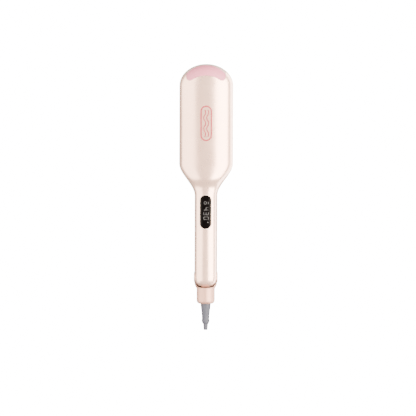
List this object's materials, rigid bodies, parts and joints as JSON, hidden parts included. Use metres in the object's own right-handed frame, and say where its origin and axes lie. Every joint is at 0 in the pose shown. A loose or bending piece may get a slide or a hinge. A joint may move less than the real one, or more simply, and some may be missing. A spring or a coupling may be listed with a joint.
{
  "type": "hair waver",
  "caption": "Hair waver with two hinged arms, interlocking heated wave plates, a display in the handle and a swivelling cord boot.",
  "frame": {"origin": "middle of the tool's bounding box, on the flat back of the rear arm", "axes": "+Z out of the front arm's face with the display, +Y along the tool to the tips, X across it"},
  "size_m": [0.074, 0.366, 0.04],
  "materials": {
    "blush_shell": "pearl gloss",
    "blush_trim": "gloss",
    "cool_pad": "soft touch",
    "liner": "fine texture",
    "plate_coating": "satin ceramic coating on aluminium",
    "heater": "plain",
    "carrier": "glass-filled",
    "sensor": "bare",
    "fuse": "bare",
    "display_black": "high gloss",
    "display_module": "plain",
    "board": "lacquered",
    "switch": "plain",
    "wire": "silicone",
    "screw_steel": "plain",
    "pin_steel": "ground",
    "button_cap": "gloss",
    "pad_rubber": "matte",
    "contact_copper": "plain",
    "slip_brass": "polished",
    "swivel_plastic": "plain",
    "boot_grey": "matte"
  },
  "bodies": {
    "rear_arm": {"rear_cover": "blush_shell", "rear_tip_pad": "cool_pad", "rear_head_frame": "liner", "rear_handle_liner": "liner", "rear_wave_plate": "plate_coating", "rear_heater": "heater", "rear_carrier": "carrier", "closing_pads": "pad_rubber", "rear_wires": "wire", "rear_screws": "screw_steel", "hinge_core": "blush_trim", "hinge_pin": "pin_steel", "hinge_caps": "blush_shell", "tail_housing": "blush_shell", "retaining_ring": "blush_shell", "contact_brushes": "contact_copper"},
    "front_arm": {"front_cover": "blush_shell", "front_end_trim": "blush_trim", "front_tip_pad": "cool_pad", "front_head_frame": "liner", "front_handle_liner": "liner", "front_wave_plate": "plate_coating", "front_heater": "heater", "front_carrier": "carrier", "thermistor": "sensor", "thermal_fuse": "fuse", "display_window": "display_black", "display_module": "display_module", "control_board": "board", "tact_switches": "switch", "front_wires": "wire", "front_screws": "screw_steel"},
    "power_button": {"power_button": "button_cap"},
    "plus_button": {"plus_button": "button_cap"},
    "minus_button": {"minus_button": "button_cap"},
    "cord_swivel": {"swivel_head": "swivel_plastic", "slip_rings": "slip_brass", "cord_boot": "boot_grey"}
  },
  "joints": [
    {"name": "arm_hinge", "type": "hinge", "parent": "rear_arm", "child": "front_arm", "pos_m": [0, -0.11, 0.017], "axis": [1, 0, 0], "range_deg": [0, 24]},
    {"name": "swivel_turn", "type": "hinge", "parent": "rear_arm", "child": "cord_swivel", "pos_m": [0, -0.1468, 0.017], "axis": [0, 1, 0], "continuous": true},
    {"name": "power_press", "type": "slide", "parent": "front_arm", "child": "power_button", "axis": [0, 0, 1], "range_m": [0, 0.0005], "stiffness_N_per_m": 2500},
    {"name": "minus_press", "type": "slide", "parent": "front_arm", "child": "minus_button", "axis": [0, 0, 1], "range_m": [0, 0.0005], "stiffness_N_per_m": 2500},
    {"name": "plus_press", "type": "slide", "parent": "front_arm", "child": "plus_button", "axis": [0, 0, 1], "range_m": [0, 0.0005], "stiffness_N_per_m": 2500}
  ]
}
